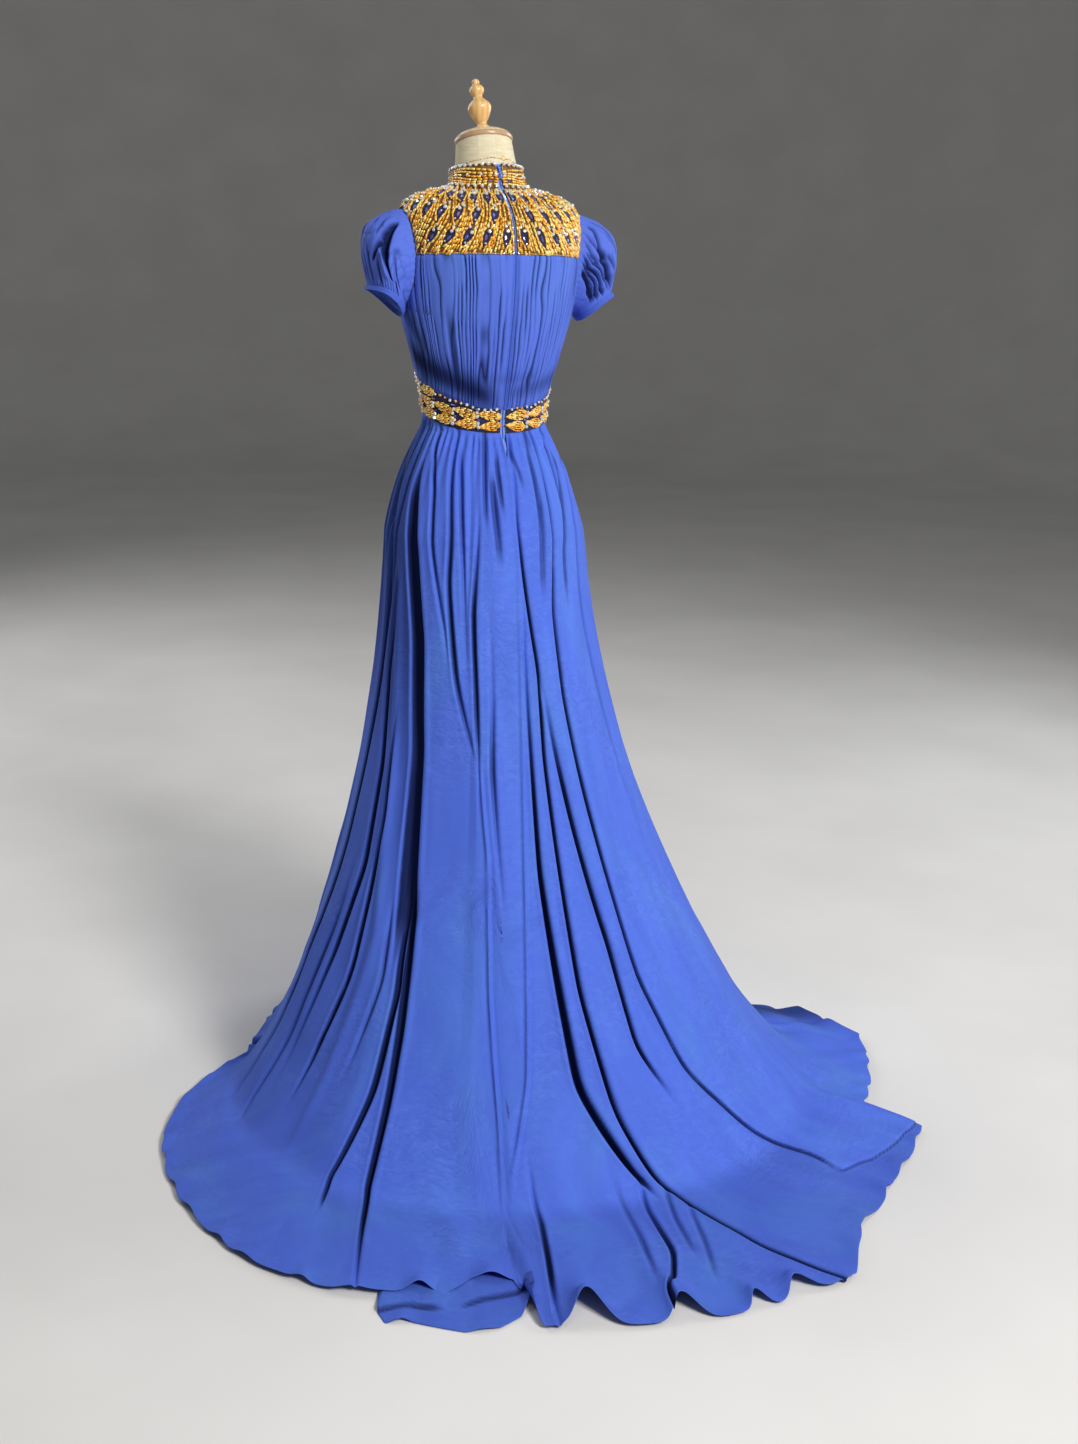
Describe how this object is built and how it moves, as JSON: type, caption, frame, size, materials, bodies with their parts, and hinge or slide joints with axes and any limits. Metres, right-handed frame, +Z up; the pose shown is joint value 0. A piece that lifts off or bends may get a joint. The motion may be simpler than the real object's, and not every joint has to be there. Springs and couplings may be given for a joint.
{
  "type": "chiffon gown on dress form",
  "caption": "Floor-length chiffon gown with train, puff sleeves, beaded yoke and waistband, standing on a limbless dress form.",
  "frame": {"origin": "centre of the round base's underside, on the floor", "axes": "+Z up; the gown faces -Y, its train runs to +Y, and the wearer's left side is +X"},
  "size_m": [1.3233, 1.2674, 1.692],
  "materials": {
    "chiffon": "soft sheen, fine crinkle",
    "beadwork": "gold bugle beads and crystals on dark blue cloth",
    "zip_tape": "plain woven tape",
    "zip_metal": "blue enamel, gloss",
    "linen": "plain linen",
    "cap_wood": "clear satin varnish",
    "finial_wood": "honey satin varnish",
    "steel": "brushed",
    "base_metal": "black satin"
  },
  "bodies": {
    "gown": {"collar_left": "beadwork", "collar_right": "beadwork", "yoke_back_left": "beadwork", "yoke_back_right": "beadwork", "yoke_front": "beadwork", "bodice_back_left": "chiffon", "bodice_back_right": "chiffon", "bodice_front": "chiffon", "sleeve_left": "chiffon", "sleeve_right": "chiffon", "cuff_left": "chiffon", "cuff_right": "chiffon", "waistband_back_left": "beadwork", "waistband_back_right": "beadwork", "waistband_front": "beadwork", "skirt_back_left": "chiffon", "skirt_back_right": "chiffon", "skirt_side_left": "chiffon", "skirt_side_right": "chiffon", "skirt_front": "chiffon", "underskirt_hem": "chiffon", "zip_tape": "zip_tape", "zip_slider": "zip_metal", "form_torso": "linen", "form_plate_left": "linen", "form_plate_right": "linen", "form_cap": "cap_wood", "form_finial": "finial_wood", "form_pole": "steel", "form_base": "base_metal"},
    "pull": {"zip_pull": "zip_metal"}
  },
  "joints": [
    {"name": "pull_swing", "type": "hinge", "parent": "gown", "child": "pull", "pos_m": [0, 0.0419, 1.55073], "axis": [1, 0, 0], "range_deg": [0, 120]}
  ]
}
